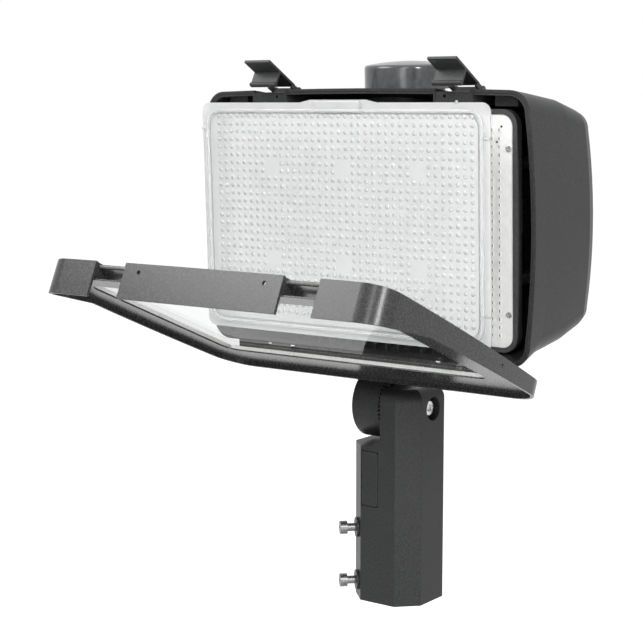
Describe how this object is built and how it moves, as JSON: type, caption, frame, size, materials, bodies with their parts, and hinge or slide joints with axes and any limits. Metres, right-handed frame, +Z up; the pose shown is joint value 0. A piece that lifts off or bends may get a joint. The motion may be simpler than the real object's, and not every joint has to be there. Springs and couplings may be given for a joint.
{
  "type": "led flood light",
  "caption": "LED flood light head with a bottom-hinged glass door, clip latches, prismatic lens panel and photocell, tilting on a knuckle slipfitter for a pole tenon.",
  "frame": {"origin": "centre of the slipfitter's mouth, on the tenon's axis", "axes": "+Z up along the tenon, -Y the way the lamp faces, +X to the right of someone facing the lamp"},
  "size_m": [0.377, 0.3717, 0.5306],
  "materials": {
    "body_paint": "die cast, fine textured dark grey powder coat",
    "latch_paint": "dark grey powder coat on steel",
    "bright_steel": "bright zinc plate",
    "gasket_rubber": "matt black silicone rubber",
    "silicone_seal": "pale grey silicone",
    "dark_tray": "dark painted aluminium",
    "white_board": "white solder mask",
    "bare_aluminium": "turned",
    "driver_case": "satin",
    "cream_plastic": "moulded",
    "black_plastic": "moulded",
    "cell_plastic": "glossy grey moulding",
    "contact_brass": "bright",
    "clear_lens": "clear moulded acrylic",
    "clear_glass": "clear toughened glass"
  },
  "bodies": {
    "slipfitter": {"slipfitter_body": "body_paint", "slipfitter_cover": "body_paint", "set_screws": "bright_steel", "pivot_bolt": "bright_steel", "pivot_washer": "bright_steel", "pivot_nut": "bright_steel"},
    "head": {"knuckle_arm": "body_paint", "arm_gasket": "gasket_rubber", "arm_bolts": "bright_steel", "rear_housing": "body_paint", "rim_gasket": "gasket_rubber", "hinge_pins": "bright_steel", "latch_brackets": "body_paint", "latch_pins": "bright_steel", "led_tray": "dark_tray", "led_board": "white_board", "board_screws": "bright_steel", "tray_posts": "bare_aluminium", "tray_screws": "bright_steel", "led_driver": "driver_case", "driver_screws": "bright_steel", "terminal_block": "cream_plastic", "wire_grommet": "gasket_rubber", "receptacle_gasket": "gasket_rubber", "photocell_receptacle": "black_plastic"},
    "door": {"door_frame": "body_paint", "catch_rods": "bright_steel", "glass_gasket": "silicone_seal", "door_glass": "clear_glass"},
    "left_latch": {"latch_left": "latch_paint"},
    "right_latch": {"latch_right": "latch_paint"},
    "lens": {"lens_panel": "clear_lens"},
    "photocell": {"photocell_cap": "cell_plastic", "photocell_prongs": "contact_brass"}
  },
  "joints": [
    {"name": "head_tilt", "type": "hinge", "parent": "slipfitter", "child": "head", "pos_m": [0, 0, 0.194], "axis": [1, 0, 0], "range_deg": [-90, 45]},
    {"name": "door_hinge", "type": "hinge", "parent": "head", "child": "door", "pos_m": [0, -0.06658, 0.2496], "axis": [1, 0, 0], "range_deg": [-63.7, 0]},
    {"name": "lens_seat", "type": "slide", "parent": "head", "child": "lens", "axis": [0, 0.985, -0.1727], "range_m": [0, 0.03844]},
    {"name": "left_latch_turn", "type": "hinge", "parent": "head", "child": "left_latch", "pos_m": [-0.104, -0.04728, 0.50097], "axis": [1, 0, 0], "range_deg": [0, 29]},
    {"name": "right_latch_turn", "type": "hinge", "parent": "head", "child": "right_latch", "pos_m": [0.104, -0.04728, 0.50097], "axis": [1, 0, 0], "range_deg": [0, 29]},
    {"name": "photocell_twist", "type": "hinge", "parent": "head", "child": "photocell", "pos_m": [0, 0.01025, 0.50659], "axis": [0, -0.0366, 0.9993], "range_deg": [0, 30]}
  ],
  "couplings": [
    {"joint": "lens_seat", "follows": "door_hinge", "m_per_rad": -0.034489}
  ]
}
